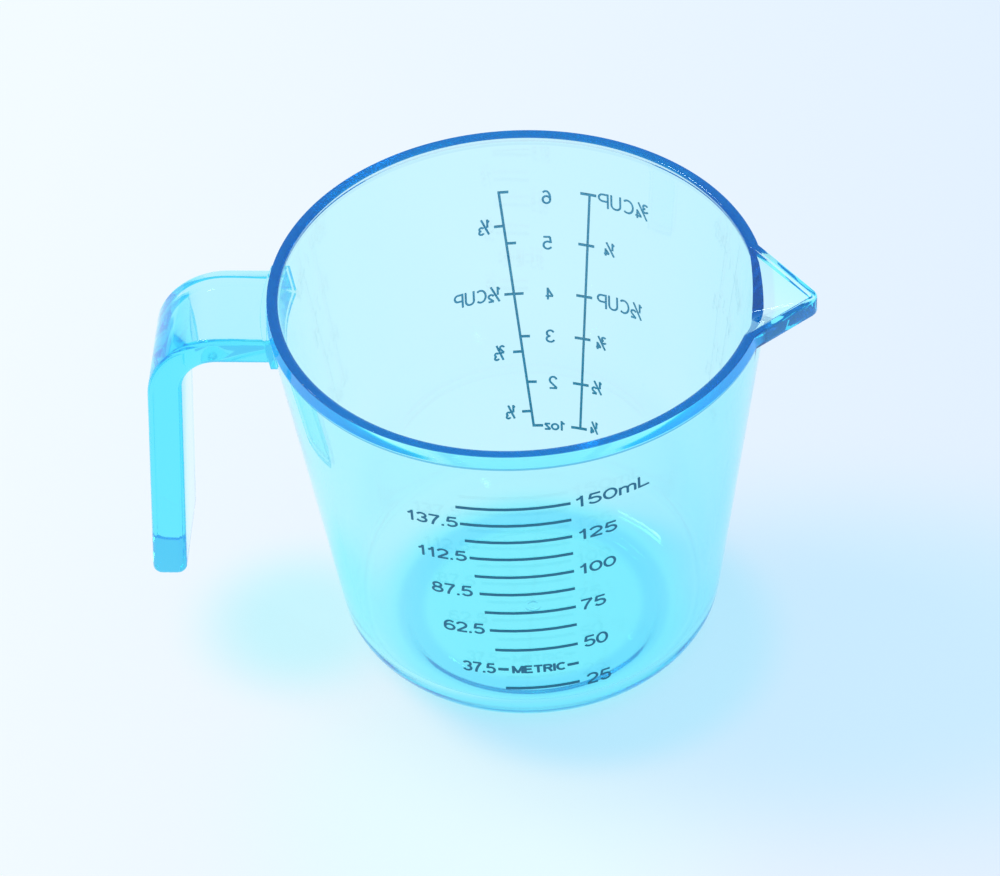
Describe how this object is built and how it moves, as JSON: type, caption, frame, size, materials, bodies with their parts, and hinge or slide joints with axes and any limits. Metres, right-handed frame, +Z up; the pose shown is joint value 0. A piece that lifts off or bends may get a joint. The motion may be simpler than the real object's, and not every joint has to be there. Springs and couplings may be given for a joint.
{
  "type": "measuring cup",
  "caption": "Clear blue tapered kitchen measuring cup with a pouring spout, a hook-shaped bar handle and printed metric, ounce and cup scales.",
  "frame": {"origin": "on the cup's axis, in the plane that the foot ring stands on", "axes": "+Z up along the cup's axis, +X towards the spout, -X towards the handle; the metric scale faces -Y and the ounce and cup scales face +Y"},
  "size_m": [0.1032, 0.076, 0.0657],
  "materials": {
    "cup_plastic": "clear, tinted, high gloss",
    "handle_plastic": "clear, tinted, high gloss",
    "ink": "screen-printed film, satin"
  },
  "bodies": {
    "root": {"cup_body": "cup_plastic", "handle": "handle_plastic", "metric_mark_150": "ink", "metric_mark_137_5": "ink", "metric_mark_125": "ink", "metric_mark_112_5": "ink", "metric_mark_100": "ink", "metric_mark_87_5": "ink", "metric_mark_75": "ink", "metric_mark_62_5": "ink", "metric_mark_50": "ink", "metric_dash_37_5_left": "ink", "metric_dash_37_5_right": "ink", "metric_mark_25": "ink", "ounce_scale": "ink", "cup_scale": "ink"}
  },
  "joints": []
}
